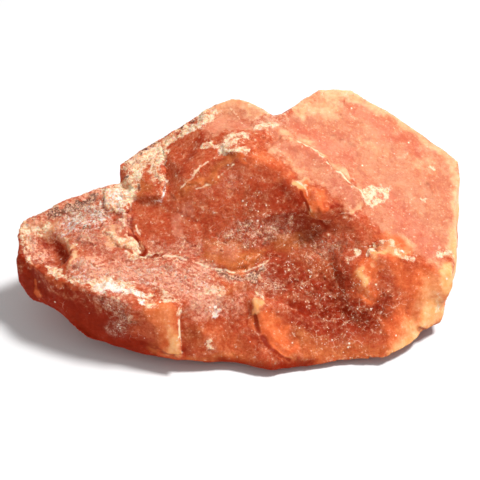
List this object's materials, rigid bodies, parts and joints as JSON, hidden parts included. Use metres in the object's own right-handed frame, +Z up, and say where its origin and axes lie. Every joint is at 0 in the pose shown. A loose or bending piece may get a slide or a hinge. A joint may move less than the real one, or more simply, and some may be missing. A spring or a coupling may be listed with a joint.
{
  "type": "rough aventurine stone",
  "caption": "Rough lump of red aventurine quartz with a bright flat slab, a hollow face, a pitted tongue and a flat fracture to rest on.",
  "frame": {"origin": "middle of the stone's box, on the face that it rests on", "axes": "+X from the narrow nose to the broad end, +Y from the front with the hollow to the back, +Z up from the rest face"},
  "size_m": [0.0824, 0.0542, 0.0312],
  "materials": {
    "aventurine": "broken quartz, waxy where smooth, matt and cream where crusted"
  },
  "bodies": {
    "root": {"stone": "aventurine"}
  },
  "joints": []
}
